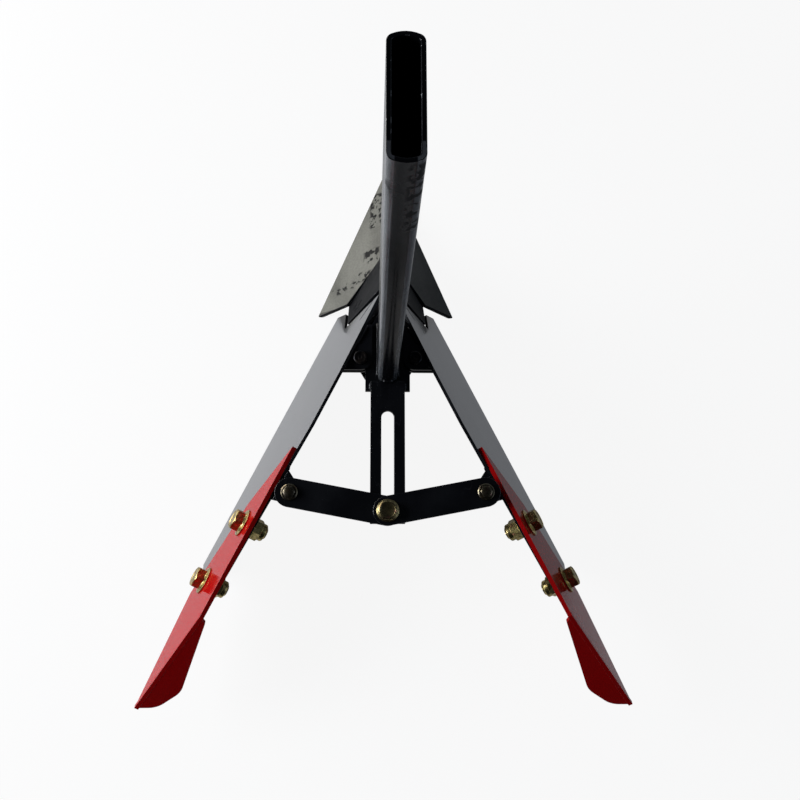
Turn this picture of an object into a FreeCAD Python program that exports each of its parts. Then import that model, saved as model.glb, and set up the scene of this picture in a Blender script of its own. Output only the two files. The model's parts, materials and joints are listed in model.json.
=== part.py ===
import FreeCAD, Part
import os
from math import sin, cos, tan, asin, radians, degrees, sqrt
from FreeCAD import Vector

os.makedirs("parts", exist_ok=True)

# Two-sided ridging body. +Z up, +Y the way it is pulled, +X to the right, millimetres.
# Sizes along Y are measured from the middle of the shank's back face until the very end,
# where the whole is set down with its origin on the floor under the middle of its box.
# The wings are modelled on the right (+X) and mirrored.

# Heights of the levels
HINGE_Z = 110.0          # underside of the hinge plate
HINGE_T = 5.0            # hinge plate
GAP = 0.3                # gap between pieces that turn or slide on each other
SEAT = 0.05              # gap between welded pieces that are cut to fit
BAR_T = 5.0              # slotted bar
LINK_T = 4.0             # link bars
EAR_T = 4.0              # hinge ears of the wings

# Shank: a flattened tube
SHANK_W = 18.0
SHANK_D = 64.0
SHANK_WALL = 2.5
SHANK_SIDE_R = 16.0      # bulge of the narrow sides
SHANK_CORNER_R = 4.0
SHANK_TOP = 535.0
SHANK_GRIP = 120.0       # length at the top that a hitch clamps, a face of its own on each side
SHANK_BACK = -4.0

# Frog: what joins the hinge plate, the shank, the nose and the share
FROG_W = 42.0            # hinge plate behind the shank
FROG_BACK = -12.5
FROG_FRONT = 9.0
SOLE_Z = 20.0            # underside of the bottom plate
SOLE_T = 5.0
SOLE_W = 84.0            # bottom plate at its widest
SOLE_WIDE_Y = 52.0
SOLE_FRONT_Y = 120.0
CHEEK_T = 4.0            # side plates on the shank's flat sides
CHEEK_TOP = 100.0
WEB_T = 6.0
WEB_TOP = 94.0

# Upright hinge pins
PIVOT_X = 25.7
PIVOT_Y = 18.2
PIN_R = 5.0
PIN_FIT = 0.05           # running fit on the radius
PIN_HEAD_R = 6.4
PIN_HEAD_H = 3.5
PIN_NUT_R = 8.0
PIN_NUT_H = 5.0
PIVOT_BOSS_R = 9.0       # hinge plate round the pin
EAR_BOSS_R = 11.0        # ear round the pin
PLATE_FRONT_W = 18.0     # hinge plate at its front end
PLATE_FRONT_WALL = 3.0   # hinge plate ahead of the shank

# Plane of a wing's outer face: a lean outwards from the top down, and a plan angle
WING_ANGLE = 26.8        # from straight back
WING_LEAN = 0.384        # sideways per height
WING_OFFSET = 90.0       # from the Y datum, square to the wing, at the floor
BOARD_T = 3.0
EXT_T = 4.0

# Mouldboard outline: distance along the wing, height
BOARD_TOE = -61.0        # front end of the strip under the crease
BOARD_CREASE = (-83.0, 0.0)      # where the crease would meet the floor
BOARD_TIP_Z = 58.0       # height at which the front facet leaves the crease
BOARD_NOSE_TOP = (-71.0, 113.0)
BOARD_NOSE_IN = 1.5      # set in of the front corner, which bends the front facet
BOARD_EAR = (14.4, 126.0)
BOARD_KINK = (71.7, 126.0)
BOARD_REAR_TOP = (272.0, 98.0)
BOARD_REAR_LOW = (238.0, 0.0)
BOARD_CORNER_R = 12.0
SLIT_FRONT = (-72.0, 106.0)
SLIT_END = (-43.6, 95.0)
SLIT_W = 2.0

# Extension outline: distance along the wing, height
EXT_TIP = (98.0, 119.5)
EXT_FRONT_LOW = (163.0, 68.0)
EXT_LOW = (265.0, 30.0)
EXT_TAIL = (375.0, 56.0)
EXT_FOLD = (268.0, 115.0)
FLAP_ANGLE = 92.0        # fold of the flap out of the plate
# Flap's free corners: place along the fold, from 0 to 1, and width there; the last two are round
FLAP_CORNERS = ((0.04, 8.0), (0.7, 28.0), (0.92, 18.0))
FLAP_CORNER_R = 22.0

# Nose plate, level with the open wings, with a strip behind the mouldboards' front edges
NOSE_T = 4.0
NOSE_TOP = 113.0
NOSE_AHEAD = 6.5         # along the wing, from the mouldboard's front edges
STRIP_T = 3.0
STRIP_GAP = 6.5          # between the strip and the mouldboard
STRIP_LAP = 12.0         # how far the strip runs on behind the mouldboard's front edges
STRIP_ROOT = 10.0        # width of the thick root that joins strip and nose

# Share
SHARE_TIP_Y = 273.0
SHARE_W = 151.0
SHARE_REAR_Y = 95.0
SHARE_RIDGE_Y = 156.0    # rear end of the ridge
SHARE_PITCH = 43.5       # slope of the two faces
SHARE_NOTCH = (42.0, 101.0)
SHARE_T = 4.0

# Slotted bar, slot and clamp bolt
BAR_W = 32.0
SLOT_W = 11.7
SLOT_FRONT_Y = -32.3
CLAMP_Y = -124.9
SLOT_REAR_SLACK = 0.3    # behind the bolt at the widest setting
BAR_END = 6.0            # bar left behind the slot
CLAMP_R = 5.0
CLAMP_FLANGE_R = 10.2
CLAMP_FLANGE_T = 2.0
CLAMP_AF = 16.0
CLAMP_HEAD_H = 7.0
CLAMP_NUT_H = 9.0

# Links, their pins and lugs
LINK_PIN = (88.7, -108.2)
LINK_W = 26.6
LINK_PIN_R = 4.0
LINK_HEAD_R = 7.6
LINK_HEAD_T = 1.6
LINK_CAP_AF = 10.0
LINK_CAP_H = 4.0
LINK_NUT_H = 6.5
LUG_T = 5.0
LUG_Z = 113.0
LUG_R = 9.8
LUG_FRONT = 112.0        # lug's root on the mouldboard, along the wing
LUG_REAR = 152.0

# Wing bolts: distance along the wing, height
WING_BOLTS = ((180.0, 90.0), (245.0, 60.0))
BOLT_R = 6.0
BOLT_FLANGE_R = 13.0
BOLT_FLANGE_T = 2.4
BOLT_AF = 18.0
BOLT_HEAD_H = 11.0
NUT_H = 11.0
COLLAR_R = 8.3           # locking collar of the nut
COLLAR_H = 4.5
BOLT_END = 1.5           # thread showing past the collar
HOLE_PLAY = 0.5

BIG = 2000.0             # construction size, past every piece
PAST = 1.0               # how far a cutting tool runs past the piece it cuts

HINGE_TOP = HINGE_Z + HINGE_T
EAR_Z = HINGE_TOP + GAP
EAR_LOW_Z = HINGE_Z - GAP - EAR_T
SOLE_TOP = SOLE_Z + SOLE_T
STRIP_IN = BOARD_T + STRIP_GAP
BAR_TOP = HINGE_TOP + BAR_T
LINK_Z = (BAR_TOP + GAP, BAR_TOP + 2 * GAP + LINK_T)      # left link, right link on top of it
PLANE_UNIT = sqrt(1.0 + WING_LEAN ** 2)
OUT = Vector(cos(radians(WING_ANGLE)), sin(radians(WING_ANGLE)), WING_LEAN) * (1.0 / PLANE_UNIT)
ALONG = Vector(sin(radians(WING_ANGLE)), -cos(radians(WING_ANGLE)), 0)


def wing(along, z, out=0.0):
    """A point by its distance along the wing, its height and its distance out of the outer face."""
    flat_out = Vector(OUT.x, OUT.y, 0) * PLANE_UNIT
    foot = flat_out * (WING_OFFSET - WING_LEAN * z)
    return foot + ALONG * along + Vector(0, 0, z) + OUT * out


def crease(z):
    """A height's place on the crease, which runs from the floor to the rear corner of the ear."""
    rise = (BOARD_EAR[0] - BOARD_CREASE[0]) / (BOARD_EAR[1] - BOARD_CREASE[1])
    return BOARD_CREASE[0] + rise * (z - BOARD_CREASE[1]), z


def crease_height(along):
    """The crease's height at a distance along the wing."""
    rise = (BOARD_EAR[1] - BOARD_CREASE[1]) / (BOARD_EAR[0] - BOARD_CREASE[0])
    return BOARD_CREASE[1] + rise * (along - BOARD_CREASE[0])


def polygon(points):
    return Part.Face(Part.makePolygon(list(points) + [points[0]]))


def plate(points, direction, thickness):
    """A flat plate: its outline carried along a direction."""
    return polygon(points).extrude(direction * thickness)


def flat(points, z, thickness):
    """A level plate from (x, y) points."""
    return plate([Vector(x, y, z) for x, y in points], Vector(0, 0, 1), thickness)


def disc(x, y, z, radius, height):
    return Part.makeCylinder(radius, height, Vector(x, y, z))


def hexagon(across_flats, height, base, axis):
    """A hexagon prism standing on a point."""
    radius = across_flats / 2.0 / cos(radians(30))
    turn = FreeCAD.Rotation(Vector(0, 0, 1), axis)
    corners = [Vector(radius * cos(radians(60 * i)), radius * sin(radians(60 * i)), 0) for i in range(6)]
    return plate([base + turn.multVec(c) for c in corners], axis, height)


def behind(point, outward):
    """Everything on the inner side of a plane."""
    side = outward.cross(Vector(0, 0, 1))
    side.normalize()
    up = outward.cross(side)
    corners = [point + side * (a * BIG) + up * (b * BIG) for a, b in ((-1, -1), (1, -1), (1, 1), (-1, 1))]
    return plate(corners, outward * -1.0, BIG)


def half_space(low, high):
    return Part.makeBox(high.x - low.x, high.y - low.y, high.z - low.z, low)


def mirrored(shape):
    return shape.mirror(Vector(0, 0, 0), Vector(1, 0, 0))


def both_sides(shape):
    return shape.fuse(mirrored(shape)).removeSplitter()


def rounded(shape, axis, radius, where):
    """Round the edges that run along an axis and pass near a test of their middle."""
    edges = []
    for edge in shape.Edges:
        first, last = edge.Vertexes[0].Point, edge.Vertexes[-1].Point
        run = last - first
        if run.Length > 0 and abs(abs(run.dot(axis)) / run.Length - 1.0) < 1e-4 and where((first + last) * 0.5):
            edges.append(edge)
    return shape.makeFillet(radius, edges)


def near(point, reach):
    return lambda middle: (middle - point).Length < reach


def shank_outline(grow, z):
    """A face with bulged narrow sides and round corners, in plan."""
    half = SHANK_W / 2.0 + grow
    corner = SHANK_CORNER_R + grow
    middle = SHANK_BACK + SHANK_D / 2.0
    bulge = SHANK_D / 2.0 - SHANK_SIDE_R
    across = half - corner
    span = SHANK_SIDE_R - SHANK_CORNER_R
    reach = sqrt(span ** 2 - across ** 2)
    turn = Vector(1, 0, 0) + Vector(across, reach, 0) * (1.0 / span)
    turn.normalize()
    flat_end = (half, bulge + reach)
    bend = (across + turn.x * corner, bulge + reach + turn.y * corner)
    meet = (across * (1.0 + corner / span), bulge + reach * (1.0 + corner / span))
    tip = (0, bulge + SHANK_SIDE_R + grow)

    def at(point, x_way, y_way):
        return Vector(x_way * point[0], middle + y_way * point[1], z)

    edges = []
    for way in (1, -1):
        edges.append(Part.Arc(at(flat_end, 1, way), at(bend, 1, way), at(meet, 1, way)).toShape())
        edges.append(Part.Arc(at(meet, 1, way), at(tip, 1, way), at(meet, -1, way)).toShape())
        edges.append(Part.Arc(at(meet, -1, way), at(bend, -1, way), at(flat_end, -1, way)).toShape())
        edges.append(Part.LineSegment(at(flat_end, way, 1), at(flat_end, way, -1)).toShape())
    return Part.Face(Part.Wire(Part.sortEdges(edges)[0]))


def shank_tube():
    foot = SOLE_TOP
    grip = SHANK_TOP - SHANK_GRIP
    below = shank_outline(0, foot).extrude(Vector(0, 0, grip - foot))
    clamped = shank_outline(0, grip).extrude(Vector(0, 0, SHANK_GRIP))
    inner = shank_outline(-SHANK_WALL, foot).extrude(Vector(0, 0, SHANK_TOP - foot))
    return below.fuse(clamped).cut(inner)


def hinge_plate_top():
    half = FROG_W / 2.0
    shank_front = SHANK_BACK + SHANK_D
    outline = [
        (half, FROG_BACK),
        (half, FROG_FRONT),
        (PIVOT_X, PIVOT_Y - PIVOT_BOSS_R),
        (PIVOT_X + PIVOT_BOSS_R, PIVOT_Y),
        (PLATE_FRONT_W / 2.0, shank_front + PLATE_FRONT_WALL),
        (0, shank_front + PLATE_FRONT_WALL),
        (0, FROG_BACK),
    ]
    body = flat(outline, HINGE_Z, HINGE_T).fuse(disc(PIVOT_X, PIVOT_Y, HINGE_Z, PIVOT_BOSS_R, HINGE_T))
    body = body.common(behind(wing(0, HINGE_TOP, -BOARD_T - BOARD_NOSE_IN - GAP), OUT))
    body = body.cut(disc(PIVOT_X, PIVOT_Y, HINGE_Z - PAST, PIN_R + PIN_FIT, HINGE_T + 2 * PAST))
    body = both_sides(body)
    return body.cut(shank_outline(SEAT, HINGE_Z - PAST).extrude(Vector(0, 0, HINGE_T + 2 * PAST)))


def frog_plate_bottom():
    """The bottom plate under the shank, spreading to the inside of the nose."""
    half = SHANK_W / 2.0 + CHEEK_T
    outline = [
        (half, SHANK_BACK),
        (half, SHANK_BACK + SHANK_W / 2.0),
        (SOLE_W / 2.0, SOLE_WIDE_Y),
        (SOLE_W / 2.0, SOLE_FRONT_Y),
        (0, SOLE_FRONT_Y),
        (0, SHANK_BACK),
    ]
    body = flat(outline, SOLE_Z, SOLE_T)
    return both_sides(body.common(behind(wing(0, 0, -STRIP_IN - STRIP_T - SEAT), OUT)))


def frog_side():
    """The right side plate, on the shank's flat side between the bottom plate and the ears."""
    back = SHANK_BACK + SHANK_W / 2.0
    length = SHANK_D - SHANK_W
    low = SOLE_TOP
    return Part.makeBox(CHEEK_T, length, CHEEK_TOP - low, Vector(SHANK_W / 2.0 + SEAT, back, low))


def frog_web(share_room):
    """The upright rib between the shank and the insides of nose and share."""
    low = SOLE_TOP
    start = SHANK_BACK + SHANK_D / 2.0
    rib = Part.makeBox(WEB_T / 2.0, BIG, WEB_TOP - low, Vector(0, start, low))
    rib = rib.common(inside_nose()).cut(nose_strip(SEAT))
    return both_sides(rib).cut(share_room).cut(shank_outline(SEAT, 0).extrude(Vector(0, 0, SHANK_TOP)))


def inside_nose():
    """Everything on the inner side of the nose's right face."""
    return behind(wing(0, 0, -NOSE_T - SEAT), OUT)


def board_front(shift):
    """The crease up to the mouldboard's front facet and the facet's front edge, moved along the wing."""
    edge = [BOARD_CREASE, crease(BOARD_TIP_Z), BOARD_NOSE_TOP]
    return [(along + shift, z) for along, z in edge]


def nose_strip(grow):
    """The strip behind the right mouldboard's front edges, with its thick root against the nose."""
    root_rear = board_front(-NOSE_AHEAD + grow)
    root_front = board_front(-NOSE_AHEAD - STRIP_ROOT - grow)
    depth = STRIP_IN + STRIP_T + grow
    root = plate([wing(a, z) for a, z in root_rear + root_front[::-1]], OUT, -depth)
    lap = board_front(STRIP_LAP + grow) + root_front[::-1]
    lap = plate([wing(a, z, grow - STRIP_IN) for a, z in lap], OUT, -STRIP_T - 2 * grow)
    return root.fuse(lap)


def nose_plate(share_room):
    """A V of two plates that end just ahead of the mouldboards, with a strip behind their front edges."""
    outline = [wing(a, z) for a, z in board_front(-NOSE_AHEAD)]
    outline += [wing(-BIG / 4.0, z) for z in (NOSE_TOP, 0)]
    half = plate(outline, OUT, -NOSE_T).fuse(nose_strip(0))
    half = half.common(half_space(Vector(0, -BIG, 0), Vector(BIG, BIG, NOSE_TOP)))
    return both_sides(half).cut(share_room)


def share_face_point(x, y):
    """A point of the right face of the share over (x, y)."""
    edge = Vector(SHARE_W / 2.0, SHARE_REAR_Y - SHARE_TIP_Y, 0)
    inward = Vector(edge.y, -edge.x, 0)
    inward.normalize()
    return Vector(x, y, (Vector(x, y, 0) - Vector(0, SHARE_TIP_Y, 0)).dot(inward) * tan(radians(SHARE_PITCH)))


def share_normal():
    tip = share_face_point(0, SHARE_TIP_Y)
    corner = share_face_point(SHARE_W / 2.0, SHARE_REAR_Y)
    ridge = share_face_point(0, SHARE_RIDGE_Y)
    normal = (corner - tip).cross(ridge - tip)
    normal.normalize()
    return normal if normal.z > 0 else normal * -1.0


def share_solid(rear_points, depth):
    """The right face's outline thickened inwards, cut at the middle and at the floor, and doubled."""
    outline = [share_face_point(0, SHARE_TIP_Y), share_face_point(SHARE_W / 2.0, SHARE_REAR_Y)]
    outline += [share_face_point(x, y) for x, y in rear_points]
    half = plate(outline, share_normal() * -1.0, depth)
    return both_sides(half.common(half_space(Vector(0, -BIG, 0), Vector(BIG, BIG, BIG))))


def share_blade():
    return share_solid([SHARE_NOTCH, (0, SHARE_RIDGE_Y)], SHARE_T)


def share_cutter():
    """The room that the share and what lies above it take out of the nose."""
    normal = share_normal()
    face = share_face_point(0, SHARE_TIP_Y) - normal * (SHARE_T + SEAT)
    inner = behind(face, normal)
    rear = [(x, y - SEAT) for x, y in (SHARE_NOTCH, (0, SHARE_RIDGE_Y))]
    over = flat([(0, SHARE_TIP_Y), (SHARE_W / 2.0, SHARE_REAR_Y)] + rear, 0, BIG)
    over = both_sides(over).cut(inner.common(mirrored(inner)))
    return over.fuse(share_solid(rear, SHARE_T + SEAT))


def pivot_pin():
    low = EAR_LOW_Z - GAP - PIN_NUT_H
    top = EAR_Z + EAR_T + GAP
    shaft = disc(PIVOT_X, PIVOT_Y, low, PIN_R, top - low)
    head = disc(PIVOT_X, PIVOT_Y, top, PIN_HEAD_R, PIN_HEAD_H)
    nut = disc(PIVOT_X, PIVOT_Y, low, PIN_NUT_R, PIN_NUT_H)
    return shaft.fuse([head, nut]).removeSplitter()


def slotted_bar():
    rear = CLAMP_Y - CLAMP_R - SLOT_REAR_SLACK
    front = SHANK_BACK - SEAT
    bar = Part.makeBox(BAR_W, front - rear + BAR_END, BAR_T, Vector(-BAR_W / 2.0, rear - BAR_END, HINGE_TOP))
    radius = SLOT_W / 2.0
    first = rear + radius
    last = SLOT_FRONT_Y - radius
    slot = Part.makeBox(SLOT_W, last - first, BAR_T + 2 * PAST, Vector(-radius, first, HINGE_TOP - PAST))
    slot = slot.fuse([disc(0, y, HINGE_TOP - PAST, radius, BAR_T + 2 * PAST) for y in (first, last)])
    return bar.cut(slot)


def facet_frame():
    """Three corners of the mouldboard's front facet and its outward direction."""
    low = wing(*crease(BOARD_TIP_Z))
    rear = wing(*BOARD_EAR)
    top = wing(BOARD_NOSE_TOP[0], BOARD_NOSE_TOP[1], -BOARD_NOSE_IN)
    outward = (top - low).cross(rear - low)
    outward.normalize()
    if outward.dot(OUT) < 0:
        outward = outward * -1.0
    return low, rear, top, outward


def mouldboard():
    """The main plate with its toe under the crease, and the front facet over the crease."""
    low, rear, top, outward = facet_frame()
    facet = plate([low, rear, top], outward, -BOARD_T)
    toe = [wing(BOARD_TOE, 0), wing(BOARD_TOE, crease_height(BOARD_TOE))]
    outline = toe + [low, rear, wing(*BOARD_KINK), wing(*BOARD_REAR_TOP), wing(*BOARD_REAR_LOW)]
    main = plate(outline, OUT, -BOARD_T)
    main = rounded(main, OUT, BOARD_CORNER_R, near(wing(*BOARD_REAR_TOP), BOARD_CORNER_R))
    board = facet.fuse(main).removeSplitter()
    (start, start_z), (end, end_z) = SLIT_FRONT, SLIT_END
    slit = plate([
        wing(start, start_z, PAST),
        wing(end, end_z, PAST),
        wing(end, end_z + SLIT_W, PAST),
        wing(start, start_z + SLIT_W, PAST),
    ], OUT, -BOARD_NOSE_IN - BOARD_T - 2 * PAST)
    board = board.cut(slit)
    board = board.common(half_space(Vector(-BIG, -BIG, 0), Vector(BIG, BIG, BIG)))
    return board.cut(wing_bolt_holes())


def inside_board(shape):
    """The part of a shape on the inner side of both faces of the mouldboard."""
    low, rear, top, outward = facet_frame()
    shape = shape.common(behind(wing(0, 0, -BOARD_T - SEAT), OUT))
    return shape.common(behind(low - outward * (BOARD_T + SEAT), outward))


def ear(z, front_y, rear_y):
    """A hinge ear, round at the pin and cut to the mouldboard's inner face."""
    inner_x = PIVOT_X - EAR_BOSS_R
    outline = [
        (inner_x, PIVOT_Y),
        (inner_x, front_y),
        (BIG / 4.0, front_y),
        (BIG / 4.0, rear_y),
        (PIVOT_X, rear_y),
        (PIVOT_X, PIVOT_Y - EAR_BOSS_R),
    ]
    body = flat(outline, z, EAR_T).fuse(disc(PIVOT_X, PIVOT_Y, z, EAR_BOSS_R, EAR_T))
    body = inside_board(body).removeSplitter()
    return body.cut(disc(PIVOT_X, PIVOT_Y, z - PAST, PIN_R + PIN_FIT, EAR_T + 2 * PAST))


def link_lug():
    """A tab under the link's outer end, spreading to its root on the mouldboard."""
    x, y = LINK_PIN
    outside = BOARD_T + EXT_T
    front = wing(LUG_FRONT, LUG_Z, outside)
    rear = wing(LUG_REAR, LUG_Z, outside)
    tangents = []
    for root, turn in ((front, 1), (rear, -1)):
        run = Vector(x - root.x, y - root.y, 0)
        away = radians(90) - asin(LUG_R / run.Length)
        toward = FreeCAD.Rotation(Vector(0, 0, 1), turn * degrees(away)).multVec(run * (-LUG_R / run.Length))
        tangents.append((x + toward.x, y + toward.y))
    outline = [tangents[0], (front.x, front.y), (rear.x, rear.y), tangents[1]]
    body = flat(outline, LUG_Z, LUG_T).fuse(disc(x, y, LUG_Z, LUG_R, LUG_T))
    body = inside_board(body).removeSplitter()
    return body.cut(disc(x, y, LUG_Z - PAST, LINK_PIN_R + PIN_FIT, LUG_T + 2 * PAST))


def link_pin(link_z):
    """A shouldered pin through lug and link, with a washer and a domed nut on top."""
    x, y = LINK_PIN
    low = LUG_Z - LINK_NUT_H
    top = link_z + LINK_T + GAP
    shaft = disc(x, y, low, LINK_PIN_R, top - low)
    shoulder = disc(x, y, LUG_Z + LUG_T, LINK_HEAD_R, link_z - GAP - LUG_Z - LUG_T)
    washer = disc(x, y, top, LINK_HEAD_R, LINK_HEAD_T)
    cap = hexagon(LINK_CAP_AF, LINK_CAP_H, Vector(x, y, top + LINK_HEAD_T), Vector(0, 0, 1))
    nut = hexagon(2 * LINK_HEAD_R * cos(radians(30)), LINK_NUT_H, Vector(x, y, low), Vector(0, 0, 1))
    return shaft.fuse([shoulder, washer, cap, nut]).removeSplitter()


def link_bar(link_z):
    """The right link at the widest setting, from the wing's pin to the clamp bolt."""
    pin = Vector(LINK_PIN[0], LINK_PIN[1], link_z)
    end = Vector(0, CLAMP_Y, link_z)
    run = end - pin
    side = Vector(-run.y, run.x, 0)
    side.normalize()
    side = side * (LINK_W / 2.0)
    body = plate([pin + side, end + side, end - side, pin - side], Vector(0, 0, 1), LINK_T)
    body = body.fuse([disc(p.x, p.y, link_z, LINK_W / 2.0, LINK_T) for p in (pin, end)]).removeSplitter()
    for point, radius in ((pin, LINK_PIN_R + PIN_FIT), (end, CLAMP_R + HOLE_PLAY)):
        body = body.cut(disc(point.x, point.y, link_z - PAST, radius, LINK_T + 2 * PAST))
    return body


def clamp_bolt_head():
    z = LINK_Z[1] + LINK_T + GAP
    flange = disc(0, CLAMP_Y, z, CLAMP_FLANGE_R, CLAMP_FLANGE_T)
    head = hexagon(CLAMP_AF, CLAMP_HEAD_H, Vector(0, CLAMP_Y, z), Vector(0, 0, 1))
    return flange.fuse(head).removeSplitter()


def clamp_bolt_stem():
    """The bolt's stretch in the slot and through its nut."""
    low = HINGE_TOP - GAP - CLAMP_NUT_H - CLAMP_FLANGE_T
    return disc(0, CLAMP_Y, low, CLAMP_R, BAR_TOP - low)


def clamp_nut():
    top = HINGE_TOP - GAP
    flange = disc(0, CLAMP_Y, top - CLAMP_FLANGE_T, CLAMP_FLANGE_R, CLAMP_FLANGE_T)
    nut = hexagon(CLAMP_AF, CLAMP_NUT_H, Vector(0, CLAMP_Y, top - CLAMP_NUT_H), Vector(0, 0, 1))
    bore = disc(0, CLAMP_Y, top - CLAMP_NUT_H - PAST, CLAMP_R + SEAT, CLAMP_NUT_H + 2 * PAST)
    return flange.fuse(nut).removeSplitter().cut(bore)


def wing_bolt_holes():
    depth = 2.0 * (BOARD_T + EXT_T + PAST)
    tools = [Part.makeCylinder(BOLT_R + HOLE_PLAY, depth, wing(a, z, -depth / 2.0), OUT) for a, z in WING_BOLTS]
    return Part.makeCompound(tools)


def extension():
    tip, tail, fold = wing(*EXT_TIP, EXT_T), wing(*EXT_TAIL, EXT_T), wing(*EXT_FOLD, EXT_T)
    outline = [tip, fold, tail, wing(*EXT_LOW, EXT_T), wing(*EXT_FRONT_LOW, EXT_T)]
    board = plate(outline, OUT, -EXT_T + SEAT)
    ridge = tail - fold
    length = ridge.Length
    ridge.normalize()
    up = OUT.cross(ridge)
    if up.z < 0:
        up = up * -1.0
    turn = radians(FLAP_ANGLE)
    across = up * cos(turn) - OUT * sin(turn)
    under = up * -sin(turn) - OUT * cos(turn)
    corners = [fold + ridge * (length * place) + across * width for place, width in FLAP_CORNERS]
    flap = plate([fold] + corners + [tail], under, EXT_T)
    for corner in corners[1:]:
        flap = rounded(flap, under, FLAP_CORNER_R, near(corner + under * (EXT_T / 2.0), EXT_T))
    body = board.fuse(flap).removeSplitter()
    body = body.common(half_space(Vector(-BIG, -BIG, 0), Vector(BIG, BIG, BIG)))
    return body.cut(wing_bolt_holes())


def extension_bolts():
    solids = []
    for along, z in WING_BOLTS:
        face = wing(along, z, EXT_T)
        length = EXT_T + BOARD_T + NUT_H + COLLAR_H + BOLT_END
        shaft = Part.makeCylinder(BOLT_R, length, face, OUT * -1.0)
        flange = Part.makeCylinder(BOLT_FLANGE_R, BOLT_FLANGE_T, face, OUT)
        head = hexagon(BOLT_AF, BOLT_HEAD_H, face, OUT)
        solids.append(shaft.fuse([flange, head]).removeSplitter())
    return Part.makeCompound(solids)


def extension_nuts():
    solids = []
    for along, z in WING_BOLTS:
        face = wing(along, z, -BOARD_T)
        inward = OUT * -1.0
        flange = Part.makeCylinder(BOLT_FLANGE_R, BOLT_FLANGE_T, face, inward)
        nut = hexagon(BOLT_AF, NUT_H, face, inward)
        collar = Part.makeCylinder(COLLAR_R, NUT_H + COLLAR_H, face, inward)
        depth = NUT_H + COLLAR_H + 2 * PAST
        bore = Part.makeCylinder(BOLT_R + SEAT, depth, wing(along, z, PAST - BOARD_T), inward)
        solids.append(flange.fuse([nut, collar]).removeSplitter().cut(bore))
    return Part.makeCompound(solids)


def build():
    share_room = share_cutter()
    nodes = {
        "shank_tube": shank_tube(),
        "hinge_plate_top": hinge_plate_top(),
        "frog_plate_bottom": frog_plate_bottom(),
        "frog_web": frog_web(share_room),
        "nose_plate": nose_plate(share_room),
        "share_blade": share_blade(),
        "slotted_bar": slotted_bar(),
        "clamp_bolt_head": clamp_bolt_head(),
        "clamp_bolt_stem": clamp_bolt_stem(),
        "clamp_nut": clamp_nut(),
    }
    # name, right-hand shape; the left one is its mirror image
    pairs = {
        "frog_side": frog_side(),
        "pivot_pin": pivot_pin(),
        "mouldboard": mouldboard(),
        "ear_top": ear(EAR_Z, SHANK_BACK + SHANK_D - SHANK_W / 2.0, PIVOT_Y - EAR_BOSS_R),
        "ear_bottom": ear(EAR_LOW_Z, SHANK_BACK + SHANK_D - SHANK_W / 2.0, PIVOT_Y - EAR_BOSS_R),
        "link_lug": link_lug(),
        "extension": extension(),
        "extension_bolts": extension_bolts(),
        "extension_nuts": extension_nuts(),
    }
    for name, shape in pairs.items():
        nodes[name + "_right"] = shape
        nodes[name + "_left"] = mirrored(shape)
    for side, level in (("left", LINK_Z[0]), ("right", LINK_Z[1])):
        for name, shape in (("link_bar", link_bar(level)), ("link_pin", link_pin(level))):
            nodes[name + "_" + side] = shape if side == "right" else mirrored(shape)
    return nodes


def set_down(nodes):
    """Move the whole so that its origin is on the floor under the middle of its box."""
    box = Part.makeCompound(list(nodes.values())).BoundBox
    shift = Vector(-box.Center.x, -box.Center.y, -box.ZMin)
    for name in nodes:
        nodes[name].translate(shift)
    return shift


nodes = build()
shift = set_down(nodes)
for name, shape in sorted(nodes.items()):
    shape.exportStep("parts/" + name + ".step")
    print(name, "solids", len(shape.Solids), "volume", round(shape.Volume, 1), "valid", shape.isValid())
box = Part.makeCompound(list(nodes.values())).BoundBox
print("shift", round(shift.x, 4), round(shift.y, 4), round(shift.z, 4))
print("box", round(box.XLength, 2), round(box.YLength, 2), round(box.ZLength, 2))
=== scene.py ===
"""Two-sided ridging plow body: paint, edges, bolts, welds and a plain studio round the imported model."""

import json

import bmesh
import bpy
import numpy as np
from bpy.props import FloatProperty, FloatVectorProperty, PointerProperty
from mathutils import Euler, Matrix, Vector


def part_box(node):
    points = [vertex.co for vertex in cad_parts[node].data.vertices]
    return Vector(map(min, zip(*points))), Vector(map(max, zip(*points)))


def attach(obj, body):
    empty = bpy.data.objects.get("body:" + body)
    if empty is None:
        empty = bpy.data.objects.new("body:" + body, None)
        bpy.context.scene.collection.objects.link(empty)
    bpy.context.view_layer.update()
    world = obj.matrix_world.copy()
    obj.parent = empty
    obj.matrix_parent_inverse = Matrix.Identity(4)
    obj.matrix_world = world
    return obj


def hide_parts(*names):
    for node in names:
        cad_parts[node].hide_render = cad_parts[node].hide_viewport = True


bl_info = {
    "name": "Ridging plow body",
    "version": (1, 0, 0),
    "blender": (4, 5, 0),
    "location": "3D View > Sidebar > Ridger",
    "description": "Paint, edges, bolts, welds and a studio for a two-sided ridging plow body",
    "category": "Object",
}

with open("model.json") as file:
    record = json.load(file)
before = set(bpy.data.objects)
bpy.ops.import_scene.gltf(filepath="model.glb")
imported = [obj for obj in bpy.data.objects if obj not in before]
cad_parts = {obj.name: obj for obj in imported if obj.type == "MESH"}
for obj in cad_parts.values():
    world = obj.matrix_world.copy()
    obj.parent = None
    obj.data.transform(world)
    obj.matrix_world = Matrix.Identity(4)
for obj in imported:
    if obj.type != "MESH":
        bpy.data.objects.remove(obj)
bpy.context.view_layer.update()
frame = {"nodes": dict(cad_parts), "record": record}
MM = 0.001

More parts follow.
